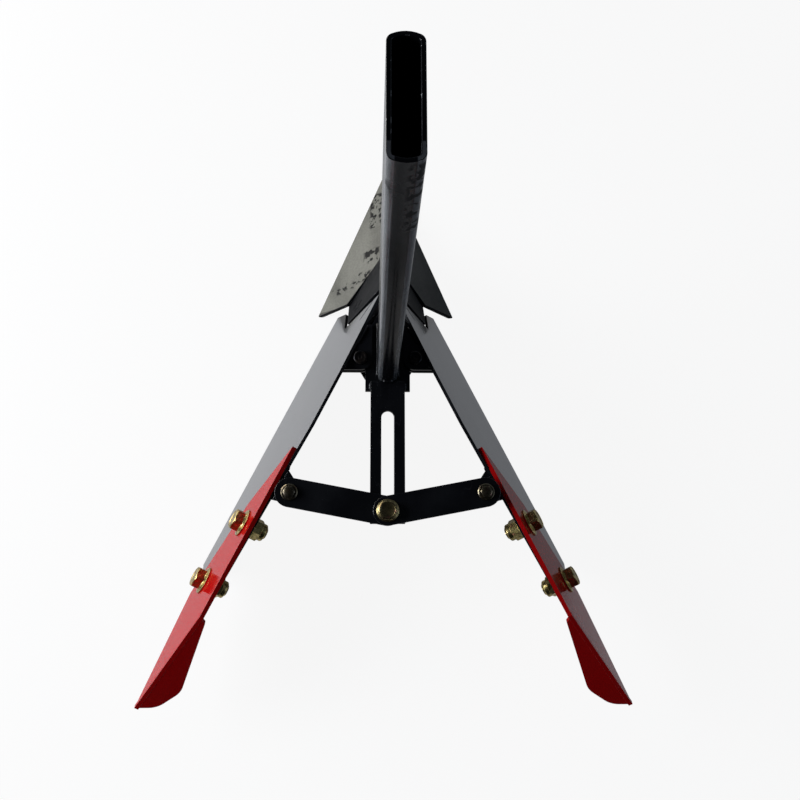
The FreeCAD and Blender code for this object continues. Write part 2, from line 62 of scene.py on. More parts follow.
# Driving sizes in millimetres, as the solids have them
SHANK_BACK = -4.0
ORIGIN_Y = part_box("shank_tube")[0].y / MM - SHANK_BACK
WING_ANGLE = np.radians(26.8)
WING_LEAN = 0.384
WING_OFFSET = 90.0
BOARD_T = 3.0
EXT_T = 4.0
WING_BOLTS = ((180.0, 90.0), (245.0, 60.0))
LINK_PIN = (88.7, -108.2)
PIVOT = (25.7, 18.2)
CLAMP_Y = -124.9
CREASE_LOW = (-38.16, 58.0)
BOARD_EAR = (14.4, 126.0)
BOARD_NOSE_TOP = (-71.0, 113.0)
BOARD_NOSE_IN = 1.5
GAP = 0.3
SHANK_W = 18.0
CHEEK_T = 4.0
SOLE_TOP = 25.0
HINGE_TOP = 115.0
BAR_W = 32.0
BAR_TOP = 120.0
EAR_T = 4.0
EAR_Z = 115.3
EAR_LOW_Z = 105.7
PIN_R = 5.0
PIN_HEAD_R = 6.4
PIN_HEAD_H = 3.5
PIN_NUT_R = 8.0
PIN_NUT_H = 5.0
CLAMP_R = 5.0
CLAMP_FLANGE_R = 10.2
CLAMP_FLANGE_T = 2.0
CLAMP_AF = 16.0
CLAMP_HEAD_H = 7.0
CLAMP_NUT_H = 9.0
LINK_T = 4.0
LINK_PIN_R = 4.0
LINK_HEAD_R = 7.6
LINK_HEAD_T = 1.6
LINK_CAP_AF = 10.0
LINK_CAP_H = 4.0
LINK_NUT_H = 6.5
LUG_T = 5.0
LUG_Z = 113.0
LUG_FRONT = 112.0
LUG_REAR = 152.0
BOLT_R = 6.0
BOLT_FLANGE_R = 13.0
BOLT_FLANGE_T = 2.4
BOLT_AF = 18.0
BOLT_HEAD_H = 11.0
NUT_H = 11.0
COLLAR_R = 8.3
COLLAR_H = 4.5
BOLT_END = 1.5

LEAN_UNIT = np.sqrt(1.0 + WING_LEAN ** 2)
OUT = np.array([np.cos(WING_ANGLE), np.sin(WING_ANGLE), WING_LEAN]) / LEAN_UNIT
ALONG = np.array([np.sin(WING_ANGLE), -np.cos(WING_ANGLE), 0.0])
SIDES = (("left", -1.0), ("right", 1.0))


def wing(along, height, out=0.0):
    """A point of the right wing from its distance along it, its height and its distance out of the face."""
    flat_out = np.array([OUT[0], OUT[1], 0.0]) * LEAN_UNIT
    point = flat_out * (WING_OFFSET - WING_LEAN * height) + ALONG * along + OUT * out
    return point + np.array([0.0, ORIGIN_Y, height])


def to_linear(code):
    """A linear colour from an sRGB hex value such as #c01018."""
    parts = np.array([int(code[i:i + 2], 16) for i in (1, 3, 5)]) / 255.0
    low = parts / 12.92
    high = ((parts + 0.055) / 1.055) ** 2.4
    return (*np.where(parts <= 0.04045, low, high).tolist(), 1.0)


def per_mm(spacing):
    """Scale of a pattern on Object coordinates that repeats about every so many millimetres."""
    return 1.0 / (spacing * MM)


def add_node(tree, kind, inputs=None, **settings):
    """Adds a node; inputs are values or earlier nodes' outputs by socket name or number."""
    node = tree.nodes.new(kind)
    for name, value in settings.items():
        setattr(node, name, value)
    for key, value in (inputs or {}).items():
        socket = node.inputs[key]
        if isinstance(value, bpy.types.NodeSocket):
            tree.links.new(value, socket)
        else:
            socket.default_value = value
    return node


def new_material(name):
    """An empty node material with its output, its Principled shader and its Object coordinates."""
    material = bpy.data.materials.new(name)
    material.use_nodes = True
    tree = material.node_tree
    tree.nodes.clear()
    output = add_node(tree, "ShaderNodeOutputMaterial")
    shader = add_node(tree, "ShaderNodeBsdfPrincipled")
    tree.links.new(shader.outputs["BSDF"], output.inputs["Surface"])
    place = add_node(tree, "ShaderNodeTexCoord").outputs["Object"]
    return material, tree, shader, place


def noise(tree, place, spacing, detail=2.0, stretch=None, turn=(0.0, 0.0, 0.0)):
    """A noise value with lumps about so many millimetres apart, stretched along an axis if asked."""
    if stretch is not None:
        place = add_node(tree, "ShaderNodeMapping", {"Vector": place, "Scale": stretch, "Rotation": turn})
        place = place.outputs["Vector"]
    inputs = {"Vector": place, "Scale": per_mm(spacing), "Detail": detail}
    return add_node(tree, "ShaderNodeTexNoise", inputs).outputs["Fac"]


def ramp(tree, value, low, high, to_low=0.0, to_high=1.0):
    """A value taken smoothly from one range to another."""
    inputs = {0: value, 1: low, 2: high, 3: to_low, 4: to_high}
    return add_node(tree, "ShaderNodeMapRange", inputs, interpolation_type="SMOOTHSTEP").outputs["Result"]


def times(tree, a, b):
    return add_node(tree, "ShaderNodeMath", {0: a, 1: b}, operation="MULTIPLY").outputs[0]


def blend(tree, amount, first, second):
    """A colour between two colours."""
    inputs = {0: amount, 6: first, 7: second}
    return add_node(tree, "ShaderNodeMix", inputs, data_type="RGBA").outputs[2]


def bump(tree, height, depth, strength=1.0, over=None):
    """A normal from a height, whose full range is so many millimetres deep."""
    inputs = {"Height": height, "Distance": depth * MM, "Strength": strength}
    if over is not None:
        inputs["Normal"] = over
    return add_node(tree, "ShaderNodeBump", inputs).outputs["Normal"]


def between(tree, place, low, high, soft):
    """One inside a box, given in millimetres of the solids' own frame, and nothing past its soft sides."""
    low = np.array(low) + (0.0, ORIGIN_Y, 0.0)
    high = np.array(high) + (0.0, ORIGIN_Y, 0.0)
    middle, half = (low + high) / 2.0 * MM, (high - low) / 2.0 * MM
    shift = add_node(tree, "ShaderNodeVectorMath", {0: place, 1: middle}, operation="SUBTRACT").outputs[0]
    away = add_node(tree, "ShaderNodeVectorMath", {0: shift}, operation="ABSOLUTE").outputs[0]
    past = add_node(tree, "ShaderNodeVectorMath", {0: away, 1: half}, operation="SUBTRACT").outputs[0]
    past = add_node(tree, "ShaderNodeVectorMath", {0: past, 1: (0.0, 0.0, 0.0)}, operation="MAXIMUM")
    reach = add_node(tree, "ShaderNodeVectorMath", {0: past.outputs[0]}, operation="LENGTH")
    return ramp(tree, reach.outputs["Value"], 0.0, soft * MM, 1.0, 0.0)


def hairlines(tree, place, spacing, width, turn=(0.0, 0.0, 0.0), stretch=(1.0, 0.12, 0.12)):
    """Thin scratch lines: where a long stretched noise crosses one value, broken up by a coarser noise."""
    grain = noise(tree, place, spacing, detail=1.5, stretch=stretch, turn=turn)
    off = add_node(tree, "ShaderNodeMath", {0: grain, 1: 0.5}, operation="SUBTRACT").outputs[0]
    off = add_node(tree, "ShaderNodeMath", {0: off}, operation="ABSOLUTE").outputs[0]
    line = ramp(tree, off, 0.0, width, 1.0, 0.0)
    return times(tree, line, ramp(tree, noise(tree, place, 2.5 * spacing, detail=2.0), 0.52, 0.62))


def sprayed_enamel(
    name, colour, dust, film, roughness, peel=0.02, chips=None, scratched=0.1, coat=0.0, gloss=0.5,
):
    """Gloss enamel sprayed on pressed steel.

    To the eye it is deep colour under a skin that mirrors bright things at a glancing angle, with
    orange peel about 3 mm apart, a thin film of dust in soft patches 45 mm apart, grit specks drawn
    1.2 mm apart, coarser than real ones so that they show, and hairline handling scratches. Chips
    show the bare steel.
    """
    material, tree, shader, place = new_material(name)
    patches = noise(tree, place, 45.0, detail=4.0)
    grit = noise(tree, place, 1.2, detail=1.0)
    cover = ramp(tree, patches, 0.35, 0.7, 0.0, film)
    specks = ramp(tree, grit, 0.68, 0.75)
    lines = hairlines(tree, place, 14.0, 0.004, turn=(0.3, 0.5, 0.8))
    tone = blend(tree, cover, colour, to_linear(dust))
    tone = blend(tree, times(tree, specks, 0.6 * film), tone, to_linear(dust))
    tone = blend(tree, times(tree, lines, scratched), tone, to_linear("#8f9194"))
    rough = ramp(tree, patches, 0.3, 0.75, roughness[0], roughness[1])
    skin = bump(tree, noise(tree, place, 3.0, detail=2.0), peel)
    if chips is not None:
        flakes = ramp(tree, noise(tree, place, 5.0, detail=5.0), chips, chips + 0.03)
        tone = blend(tree, flakes, tone, to_linear("#8d8f90"))
        tree.links.new(times(tree, flakes, 0.9), shader.inputs["Metallic"])
        skin = bump(tree, flakes, -0.08, over=skin)
    tree.links.new(tone, shader.inputs["Base Color"])
    tree.links.new(rough, shader.inputs["Roughness"])
    tree.links.new(skin, shader.inputs["Normal"])
    shader.inputs["Coat Weight"].default_value = coat
    shader.inputs["Coat Roughness"].default_value = 0.1
    shader.inputs["Specular IOR Level"].default_value = gloss
    return material


def rubbed_enamel(name, colour, rub_and_sheen, cover, blotches, roughness, painted_sheen=(), gloss=0.5):
    """Black enamel rubbed dull and pale by stacking and handling, on the share, the nose and the shank.

    To the eye it is a grey haze drawn out in soft streaks 30 mm apart over the black, thickened inside the
    painted_sheen boxes into a painted sheen that stands in for light caught on a lit side and on rounded
    corners, and missing in ragged blotches about 6 mm apart where something has knocked it off.
    """
    material, tree, shader, place = new_material(name)
    streaks = noise(tree, place, 30.0, detail=5.0, stretch=(1.0, 0.45, 0.7))
    fine = noise(tree, place, 2.2, detail=3.0)
    haze_and_sheen = ramp(tree, streaks, 0.25, 0.7, cover[0], cover[1])
    # painted sheen: inside each box the pale haze is thickened to stand in for light caught, and corner holds
    # that painted sheen
    for low, high in painted_sheen:
        corner = times(tree, between(tree, place, low, high, 0.7), ramp(tree, streaks, 0.2, 0.7, 0.3, 0.6))
        haze_and_sheen = add_node(tree, "ShaderNodeMath", {0: haze_and_sheen, 1: corner}, operation="MAXIMUM").outputs[0]
    haze_and_sheen = times(tree, haze_and_sheen, ramp(tree, fine, 0.3, 0.7, 0.8, 1.0))
    ragged = noise(tree, place, 6.0, detail=6.0)
    bare = ramp(tree, noise(tree, place, 60.0, detail=2.0), 0.66, 0.74)
    for low, high in blotches:
        patch = between(tree, place, low, high, 4.0)
        bare = add_node(tree, "ShaderNodeMath", {0: bare, 1: patch}, operation="MAXIMUM").outputs[0]
    bare = times(tree, bare, ramp(tree, ragged, 0.48, 0.56))
    kept = add_node(tree, "ShaderNodeMath", {0: 1.0, 1: bare}, operation="SUBTRACT").outputs[0]
    tone = blend(tree, times(tree, haze_and_sheen, kept), colour, to_linear(rub_and_sheen))
    tree.links.new(tone, shader.inputs["Base Color"])
    dull = times(tree, ramp(tree, streaks, 0.3, 0.75, roughness[0], roughness[1]), kept)
    matt = times(tree, bare, 0.6)
    rough = add_node(tree, "ShaderNodeMath", {0: dull, 1: matt}, operation="ADD").outputs[0]
    tree.links.new(rough, shader.inputs["Roughness"])
    tree.links.new(bump(tree, fine, 0.02), shader.inputs["Normal"])
    shader.inputs["Specular IOR Level"].default_value = gloss
    return material


def yellow_zinc(name, bright, thick, dulled=0.0):
    """Zinc plating with a yellow chromate dip, on forged and rolled bolts.

    To the eye it is a satin metal, straw yellow with a green and a rosy drift about 6 mm
    apart, olive brown where the dip has dried thick, and fine handling marks. Dulled, it goes grey brown.
    """
    material, tree, shader, place = new_material(name)
    drift = noise(tree, place, 6.0, detail=3.0)
    stain = noise(tree, place, 2.4, detail=4.0)
    tone = blend(tree, ramp(tree, drift, 0.35, 0.65), bright, to_linear("#9a9058"))
    tone = blend(tree, ramp(tree, drift, 0.58, 0.72), tone, to_linear("#a4705a"))
    tone = blend(tree, ramp(tree, stain, 0.42, 0.66, 0.0, thick), tone, to_linear("#4e4328"))
    tone = blend(tree, dulled, tone, to_linear("#5c564e"))
    shader.inputs["Metallic"].default_value = 1.0
    tree.links.new(tone, shader.inputs["Base Color"])
    tree.links.new(ramp(tree, stain, 0.35, 0.8, 0.26, 0.42), shader.inputs["Roughness"])
    tree.links.new(bump(tree, noise(tree, place, 0.9), 0.012), shader.inputs["Normal"])
    return material


def oiled_steel(name):
    """Turned steel pins, blackened by heat and oil.

    To the eye it is a dark grey metal with browner patches about 5 mm apart, a soft gloss and fine
    rings left by the lathe, drawn 0.8 mm apart so that they show.
    """
    material, tree, shader, place = new_material(name)
    patches = noise(tree, place, 5.0, detail=4.0)
    tone = blend(tree, ramp(tree, patches, 0.35, 0.7), to_linear("#303134"), to_linear("#3c3733"))
    shader.inputs["Metallic"].default_value = 1.0
    tree.links.new(tone, shader.inputs["Base Color"])
    tree.links.new(ramp(tree, patches, 0.3, 0.7, 0.24, 0.42), shader.inputs["Roughness"])
    tree.links.new(bump(tree, noise(tree, place, 0.8), 0.015), shader.inputs["Normal"])
    return material


def body_of(node):
    for body, nodes in frame["record"]["behaviour"]["bodies"].items():
        if node in nodes:
            return body
    raise ValueError("no body holds " + node)


def slot_of(node):
    for part in frame["record"]["subparts"]:
        if part["node"] == node:
            return part["material_slot"]
    raise ValueError("no slot for " + node)


def dressed_plate(node, radius, face, edge):
    """A copy of a node's mesh with its edges rounded; its own faces take one finish and the edges another.

    The copy's loose triangles are merged and its flat faces made whole before the edges are rounded. The
    normals that it carries belong to the loose triangles and are taken off.
    """
    piece = frame["nodes"][node].copy()
    piece.data = frame["nodes"][node].data.copy()
    piece.name = node + "_painted"
    bpy.context.collection.objects.link(piece)
    mesh = bmesh.new()
    mesh.from_mesh(piece.data)
    bmesh.ops.remove_doubles(mesh, verts=mesh.verts, dist=0.002 * MM)
    bmesh.ops.dissolve_limit(mesh, angle_limit=np.radians(0.5), verts=mesh.verts, edges=mesh.edges)
    mesh.to_mesh(piece.data)
    mesh.free()
    carried = piece.data.attributes.get("custom_normal")
    if carried is not None:
        piece.data.attributes.remove(carried)
    piece.data.shade_smooth()
    piece.data.materials.clear()
    piece.data.materials.append(face)
    piece.data.materials.append(edge)
    piece.data.polygons.foreach_set("material_index", np.zeros(len(piece.data.polygons), np.int32))
    rounding = piece.modifiers.new("rounded edges", "BEVEL")
    rounding.width = radius * MM
    rounding.segments = 2
    rounding.limit_method = "ANGLE"
    rounding.angle_limit = np.radians(28.0)
    rounding.material = 1
    rounding.harden_normals = True
    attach(piece, body_of(node))
    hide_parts(node)
    return piece


ANGLES = 96


def hexagon_radius(flats, angle):
    """From the middle of a hexagon to its side: half its flats over the cosine of the angle to the flat."""
    return flats / 2.0 / np.cos(angle % (np.pi / 3.0) - np.pi / 6.0)


def ring(height, radius):
    """A round row of a turned piece."""
    return (height, radius, radius, radius)


def turned(rows):
    """A grid round the Z axis from rows of height, lowest radius, highest radius and hexagon's flats.

    The radius at an angle is the hexagon's there, held between the row's lowest and highest radius.
    """
    height, low, high, flats = np.array(rows)[:, :, None].transpose(1, 0, 2)
    angle = np.arange(ANGLES) * 2.0 * np.pi / ANGLES
    radius = np.clip(hexagon_radius(flats, angle), low, high)
    return np.stack([radius * np.cos(angle), radius * np.sin(angle), height + 0.0 * radius], axis=-1)


def threaded(low, high, radius, pitch):
    """A screw thread round the Z axis, from its low to its high end.

    The radius falls by half of 0.6 pitches times one plus the cosine of the turn, less one whole turn for
    each pitch of height, so the crests climb one pitch a turn.
    """
    height = np.linspace(low, high, int((high - low) / pitch * 8) + 2)[:, None]
    angle = np.arange(ANGLES) * 2.0 * np.pi / ANGLES
    groove = 0.5 + 0.5 * np.cos(2.0 * np.pi * height / pitch - angle)
    radius = radius - 0.6 * pitch * groove
    return np.stack([radius * np.cos(angle), radius * np.sin(angle), height + 0.0 * radius], axis=-1)


def flange_rows(radius, thickness, flats):
    """Rows of a flange: a rounded rim, then a hollow cone that runs into the hexagon."""
    rim = [ring(0.0, radius - 0.4), ring(0.12, radius - 0.1), ring(0.35, radius)]
    rim.append(ring(0.5 * thickness, radius))
    share = np.linspace(0.0, 1.0, 7)
    height = thickness * (0.55 + 0.75 * share)
    cone = radius - 0.15 + (flats / 2.0 - radius) * share ** 0.7
    return rim + [(h, r, 2.0 * radius, flats) for h, r in zip(height, cone)]


def hexagon_rows(low, high, flats):
    """Rows of a hexagon whose top corners a cone takes off, down to a round face inside its flats."""
    slope = np.tan(np.radians(30.0))
    face = 0.465 * flats
    drop = (flats / 2.0 / np.cos(np.pi / 6.0) - face) * slope
    left = drop * (1.0 - np.linspace(0.0, 1.0, 8))
    return [(low, 0.0, flats, flats)] + [(high - below, 0.0, face + below / slope, flats) for below in left]


def flanged_rows(radius, thickness, flats, high):
    """Rows of a hexagon that stands on its flange."""
    return flange_rows(radius, thickness, flats) + hexagon_rows(thickness * 1.3 + 0.1, high, flats)


def dish_rows(height, radius, depth):
    """Rows of the shallow round hollow in a bolt head's face, closed in its middle."""
    return [
        ring(height, radius),
        ring(height - 0.3 * depth, radius - 0.25),
        ring(height - depth, radius - 0.7),
        ring(height - depth, 0.0),
    ]


def stood(grid, base, axis, spin=0.0):
    """A grid built round Z, spun about it, turned the shortest way to lie along the axis, and set down."""
    turn = np.array(Vector((0.0, 0.0, 1.0)).rotation_difference(Vector(axis)).to_matrix())
    around = np.array(Euler((0.0, 0.0, spin)).to_matrix())
    return grid @ around.T @ turn.T + np.array(base)


def weld_bead(start, end, wall, other, leg, ripple):
    """A fillet weld along the straight root between two walls, which are given by the ways that they face.

    Across the root it is a quarter round: root + leg * (cos t along one wall + sin t along the other). The
    leg swells in curved ripples by the size of a sine of the way along, and shrinks to nothing at its ends.
    """
    start, end, wall, other = (np.array(v, dtype=float) for v in (start, end, wall, other))
    length = np.linalg.norm(end - start)
    along = (end - start) / length
    first = np.cross(wall, along)
    first = first / np.linalg.norm(first) * np.sign(first @ other)
    second = np.cross(other, along)
    second = second / np.linalg.norm(second) * np.sign(second @ wall)
    way = np.linspace(0.0, length, int(length / 0.35) + 2)[:, None, None]
    turn = np.linspace(0.0, np.pi / 2.0, 9)[None, :, None]
    inside = np.clip(np.minimum(way, length - way) / leg, 0.0, 1.0)
    wave = np.abs(np.sin(np.pi * (way + leg * 0.5 * np.sin(2.0 * turn)) / (0.75 * leg)))
    size = leg * np.sqrt(inside * (2.0 - inside)) * (1.0 - ripple + ripple * wave)
    arc = start + along * way + size * (np.cos(turn) * first + np.sin(turn) * second)
    root = start + along * way
    return np.concatenate([arc, root], axis=1)


def grid_faces(rows, columns, closed):
    """Corner numbers of a grid's faces. Columns go round; a closed grid's last row joins its first."""
    row, column = np.meshgrid(np.arange(rows if closed else rows - 1), np.arange(columns), indexing="ij")
    next_row, next_column = (row + 1) % rows, (column + 1) % columns
    corners = [(row, column), (row, next_column), (next_row, next_column), (next_row, column)]
    return np.stack([r * columns + c for r, c in corners], axis=-1).reshape(-1, 4)


def built(name, grids, material, body, nodes=(), closed=False, sharp=32.0):
    """One piece from grids of points in millimetres, its doubles merged and its faces turned outwards."""
    faces, count = [], 0
    for grid in grids:
        faces.append(grid_faces(*grid.shape[:2], closed) + count)
        count += grid.shape[0] * grid.shape[1]
    faces = np.concatenate(faces)
    points = np.concatenate([grid.reshape(-1, 3) for grid in grids]) * MM
    data = bpy.data.meshes.new(name)
    data.vertices.add(len(points))
    data.vertices.foreach_set("co", points.ravel())
    data.loops.add(faces.size)
    data.loops.foreach_set("vertex_index", faces.ravel())
    data.polygons.add(len(faces))
    data.polygons.foreach_set("loop_start", np.arange(0, faces.size, 4))
    data.update(calc_edges=True)
    mesh = bmesh.new()
    mesh.from_mesh(data)
    bmesh.ops.remove_doubles(mesh, verts=mesh.verts, dist=0.001 * MM)
    bmesh.ops.recalc_face_normals(mesh, faces=mesh.faces)
    mesh.to_mesh(data)
    mesh.free()
    data.shade_smooth()
    data.set_sharp_from_angle(angle=np.radians(sharp))
    data.materials.append(material)
    piece = bpy.data.objects.new(name, data)
    bpy.context.collection.objects.link(piece)
    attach(piece, body)
    if nodes:
        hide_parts(*nodes)
    return piece


def placed(x, y, z):
    """A point of the right-hand side from its place in the solids' own frame."""
    return np.array([x, y + ORIGIN_Y, z])


def sided(grid, side):
    """A grid of the right-hand side, or its mirror image for the left."""
    return grid * np.array([side, 1.0, 1.0])


# node, radius of its rounded edges
BLACK_PLATES = {
    "hinge_plate_top": 0.5,
    "frog_plate_bottom": 0.5,
    "frog_side_left": 0.5,
    "frog_side_right": 0.5,
    "frog_web": 0.5,
    "nose_plate": 0.5,
    "slotted_bar": 0.5,
    "mouldboard_left": 0.45,
    "mouldboard_right": 0.45,
    "ear_top_left": 0.5,
    "ear_top_right": 0.5,
    "ear_bottom_left": 0.5,
    "ear_bottom_right": 0.5,
    "link_lug_left": 0.5,
    "link_lug_right": 0.5,
    "link_bar_left": 0.5,
    "link_bar_right": 0.5,
}


class RidgerFinish(bpy.types.PropertyGroup):
    """Colours of the finishes."""

    black: FloatVectorProperty(
        name="Black enamel", description="Colour of the black enamel", subtype="COLOR", size=4,
        default=to_linear("#0a0b0e"),
    )
    red: FloatVectorProperty(
        name="Red enamel", description="Colour of the red enamel", subtype="COLOR", size=4,
        default=to_linear("#a00a0c"),
    )
    zinc: FloatVectorProperty(
        name="Yellow zinc", description="Lightest colour of the plated bolts", subtype="COLOR", size=4,
        default=to_linear("#d2bc82"),
    )


class RidgerSizes(bpy.types.PropertyGroup):
    """Sizes of the edges, welds and threads, in metres."""

    red_edge: FloatProperty(
        name="Red edge", description="Radius of the extensions' edges", default=0.6 * MM, unit="LENGTH"
    )
    weld_leg: FloatProperty(
        name="Weld leg", description="Leg of the fillet welds", default=2.5 * MM, unit="LENGTH"
    )
    weld_ripple: FloatProperty(
        name="Weld ripple", description="Depth of the weld's ripples, as a share of its leg",
        default=0.16, min=0.0, max=0.5,
    )
    wing_pitch: FloatProperty(
        name="Wing bolts' pitch", description="Thread pitch of the M12 wing bolts",
        default=1.75 * MM, unit="LENGTH",
    )
    clamp_pitch: FloatProperty(
        name="Clamp bolt's pitch", description="Thread pitch of the M10 clamp bolt",
        default=1.5 * MM, unit="LENGTH",
    )


class RidgerStage(bpy.types.PropertyGroup):
    """The camera's lens and height."""

    lens: FloatProperty(
        name="Lens", description="Focal length on a 36 mm sensor", default=36.0, unit="CAMERA"
    )
    height: FloatProperty(
        name="Camera height", description="Height of the camera over the floor",
        default=849.45 * MM, unit="LENGTH",
    )


class RIDGER_OT_black_plates(bpy.types.Operator):
    """Paints the frog, nose, mouldboards, ears, links and bar black"""

    bl_idname = "ridger.black_plates"
    bl_label = "Black plates"

    def execute(self, context):
        black = tuple(context.scene.ridger_finish.black)
        face = sprayed_enamel(
            "black_gloss_enamel_sprayed", black, "#34363a", 0.12, (0.16, 0.26), scratched=0.03
        )
        edge = sprayed_enamel("black_gloss_enamel_on_edges", black, "#3a3c40", 0.2, (0.2, 0.32), chips=0.66)
        wet = sprayed_enamel(
            "black_gloss_enamel_on_boards", black, "#4a4f56", 0.12, (0.14, 0.22), scratched=0.05, coat=1.0
        )
        scoured = rubbed_enamel(
            "black_enamel_scoured_nose", black, "#5a5c5e", (0.0, 0.06), (), (0.4, 0.55), gloss=0.04
        )
        for node, radius in BLACK_PLATES.items():
            finish = wet if node.startswith("mouldboard") else scoured if node == "nose_plate" else face
            dressed_plate(node, radius, finish, edge)
        return {"FINISHED"}


# corners of the boxes in which the share's and the shank's haze has been knocked off
SHARE_BLOTCHES = (
    ((-16.0, 196.0, 0.0), (-2.0, 240.0, 60.0)),
    ((-22.0, 150.0, 0.0), (-8.0, 164.0, 60.0)),
    ((-58.0, 119.0, 0.0), (-46.0, 123.0, 60.0)),
    ((-44.0, 123.0, 0.0), (-33.0, 127.0, 60.0)),
    ((-30.0, 128.0, 0.0), (-14.0, 136.0, 60.0)),
)
# the share's left half is painted palest: a painted sheen standing in for the light that falls from the left
SHARE_PAINTED_SHEEN = (((-120.0, 100.0, 0.0), (-1.0, 270.0, 60.0)),)
SHANK_BLOTCHES = (((3.0, -6.0, 465.0), (10.0, 4.0, 530.0)),)
# the shank's rounded rear corners, painted pale from the hinge plate up: a painted highlight standing in for
# the bright light that the corners mirror
SHANK_PAINTED_CORNER_SHEEN = (((-9.5, -6.0, 100.0), (-5.6, 6.0, 540.0)), ((5.2, -6.0, 100.0), (9.5, 6.0, 540.0)))


class RIDGER_OT_share(bpy.types.Operator):
    """Paints the share, rubbed pale, with a painted sheen that makes its left half palest as if lit from the
    left, and black on its edges
    """

    bl_idname = "ridger.share"
    bl_label = "Share"

    def execute(self, context):
        black = tuple(context.scene.ridger_finish.black)
        # the palest haze on the left half is a painted sheen for the light from the left
        face = rubbed_enamel(
            "black_enamel_rubbed_pale_with_painted_sheen", black, "#94958c", (0.1, 0.24), SHARE_BLOTCHES, (0.3, 0.4),
            painted_sheen=SHARE_PAINTED_SHEEN, gloss=0.15,
        )
        edge = sprayed_enamel("black_enamel_on_share_edges", black, "#1c1d1f", 0.05, (0.3, 0.4), gloss=0.1)
        dressed_plate("share_blade", 1.3, face, edge)
        return {"FINISHED"}


class RIDGER_OT_shank(bpy.types.Operator):
    """Paints the shank, with its scuffs near the top and painted highlights down its rear corners"""

    bl_idname = "ridger.shank"
    bl_label = "Shank"

    def execute(self, context):
        black = tuple(context.scene.ridger_finish.black)
        # the pale rear corners are painted highlights standing in for mirrored light
        face = rubbed_enamel(
            "black_enamel_scuffed_with_painted_corner_sheen", black, "#787c80", (0.0, 0.02), SHANK_BLOTCHES, (0.18, 0.28),
            painted_sheen=SHANK_PAINTED_CORNER_SHEEN, gloss=0.15,
        )
        edge = sprayed_enamel("black_enamel_on_shank_rim", black, "#4a4c50", 0.2, (0.2, 0.3), chips=0.62)
        dressed_plate("shank_tube", 0.45, face, edge)
        return {"FINISHED"}


class RIDGER_OT_red_extensions(bpy.types.Operator):
    """Paints the two bolted extensions red"""

    bl_idname = "ridger.red_extensions"
    bl_label = "Red extensions"

    def execute(self, context):
        red = tuple(context.scene.ridger_finish.red)
        radius = context.scene.ridger_sizes.red_edge / MM
        face = sprayed_enamel(
            "red_gloss_enamel_sprayed", red, "#8a302c", 0.05, (0.08, 0.15),
            peel=0.012, scratched=0.08, gloss=0.06,
        )
        edge = sprayed_enamel("red_gloss_enamel_on_edges", red, "#b0302a", 0.12, (0.2, 0.3), chips=0.7)
        for side, _ in SIDES:
            dressed_plate("extension_" + side, radius, face, edge)
        return {"FINISHED"}


# stretch of thread that shows past the nut, and how the collar rounds over at its top
THREAD_SHOWN = 3.2
COLLAR_ROUND = 1.8
COLLAR_DRAWN_IN = 1.6
# how far each bolt and nut is spun from a corner along its frame's X axis, front one first
BOLT_SPINS = np.radians((31.0, 24.0))
NUT_SPINS = np.radians((12.0, -9.0))


class RIDGER_OT_wing_bolts(bpy.types.Operator):
    """Makes the M12 flange bolts and their locking nuts that hold the extensions"""

    bl_idname = "ridger.wing_bolts"
    bl_label = "Wing bolts"

    def execute(self, context):
        pitch = context.scene.ridger_sizes.wing_pitch / MM
        bright = tuple(context.scene.ridger_finish.zinc)
        zinc = yellow_zinc("yellow_chromate_zinc_on_bolts", bright, thick=0.55)
        bolt, nut = self.bolt(pitch), self.nut()
        for side, sign in SIDES:
            bolts = [stood(bolt, wing(a, z, EXT_T), OUT, s) for (a, z), s in zip(WING_BOLTS, BOLT_SPINS)]
            nuts = [stood(nut, wing(a, z, -BOARD_T), -OUT, s) for (a, z), s in zip(WING_BOLTS, NUT_SPINS)]
            body = "wing_" + side
            groups = (("extension_bolts_", bolts, False), ("extension_nuts_", nuts, True))
            for group, grids, closed in groups:
                node = group + side
                grids = [sided(grid, sign) for grid in grids]
                built(node + "_made", grids, zinc, body, [node], closed)
        return {"FINISHED"}

    def bolt(self, pitch):
        """From the thread's chamfered end through shaft, flange and hexagon to the dished face."""
        end = -(EXT_T + BOARD_T + NUT_H + COLLAR_H + BOLT_END)
        shown = end + THREAD_SHOWN
        tail = turned([ring(end, 0.0), ring(end, BOLT_R - 1.2), ring(end + 0.1, BOLT_R - 1.0)])
        thread = threaded(end + 0.5, shown, BOLT_R, pitch)
        rows = [ring(shown + 0.2, BOLT_R), ring(0.0, BOLT_R)]
        rows += flanged_rows(BOLT_FLANGE_R, BOLT_FLANGE_T, BOLT_AF, BOLT_HEAD_H)
        rows += dish_rows(BOLT_HEAD_H, 0.43 * BOLT_AF, 0.5)
        return np.concatenate([tail, thread, turned(rows)])

    def nut(self):
        """A ring: the flange, the hexagon with its chamfer, the rounded locking collar and the bore."""
        top = NUT_H + COLLAR_H
        rows = [ring(0.0, BOLT_R + 0.05), ring(0.0, BOLT_FLANGE_R - 0.8)]
        rows += flanged_rows(BOLT_FLANGE_R, BOLT_FLANGE_T, BOLT_AF, NUT_H)
        round_low = top - COLLAR_ROUND
        rows += [ring(NUT_H + 0.1, COLLAR_R), ring(round_low, COLLAR_R)]
        turn = np.linspace(0.0, np.pi / 2.0, 7)[1:]
        inwards = COLLAR_DRAWN_IN * (1.0 - np.cos(turn))
        rows += [ring(round_low + COLLAR_ROUND * np.sin(t), COLLAR_R - i) for t, i in zip(turn, inwards)]
        rows += [ring(top - 0.4, BOLT_R + 0.3), ring(top - 0.6, BOLT_R + 0.05)]
        return turned(rows)


